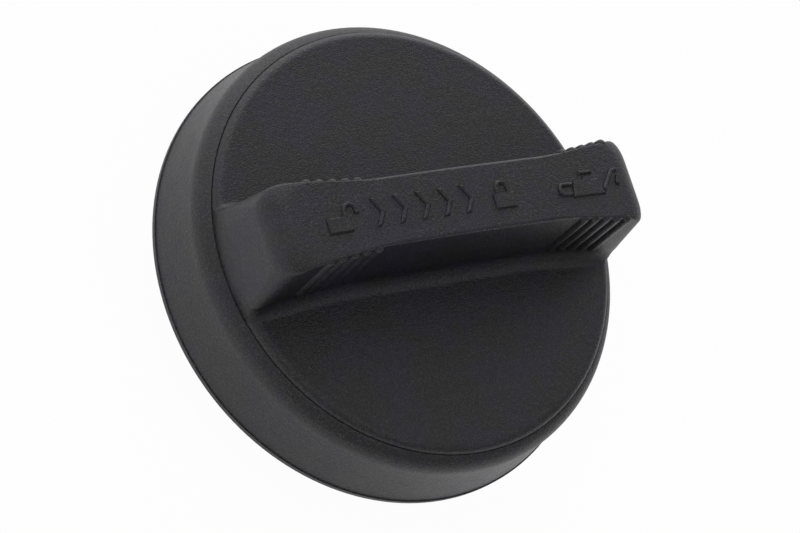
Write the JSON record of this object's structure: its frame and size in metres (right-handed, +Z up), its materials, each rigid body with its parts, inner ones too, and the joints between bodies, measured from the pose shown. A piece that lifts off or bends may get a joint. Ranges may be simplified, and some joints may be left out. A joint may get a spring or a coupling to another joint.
{
  "type": "oil filler cap",
  "caption": "Round engine oil filler cap with a ribbed bar handle on a seamed lid, a flared skirt, a bayonet spigot and a rubber sealing ring.",
  "frame": {"origin": "centre of the spigot's lower end face, on which the cap stands", "axes": "+Z up along the cap's axis towards the handle, +X along the bar handle, +Y across it"},
  "size_m": [0.0684, 0.0684, 0.0329],
  "materials": {
    "lid_plastic": "fine-grained moulded black",
    "body_plastic": "fine-grained moulded black",
    "seal_rubber": "smooth moulded rubber"
  },
  "bodies": {
    "root": {"lid": "lid_plastic", "body": "body_plastic", "seal_ring": "seal_rubber"}
  },
  "joints": []
}
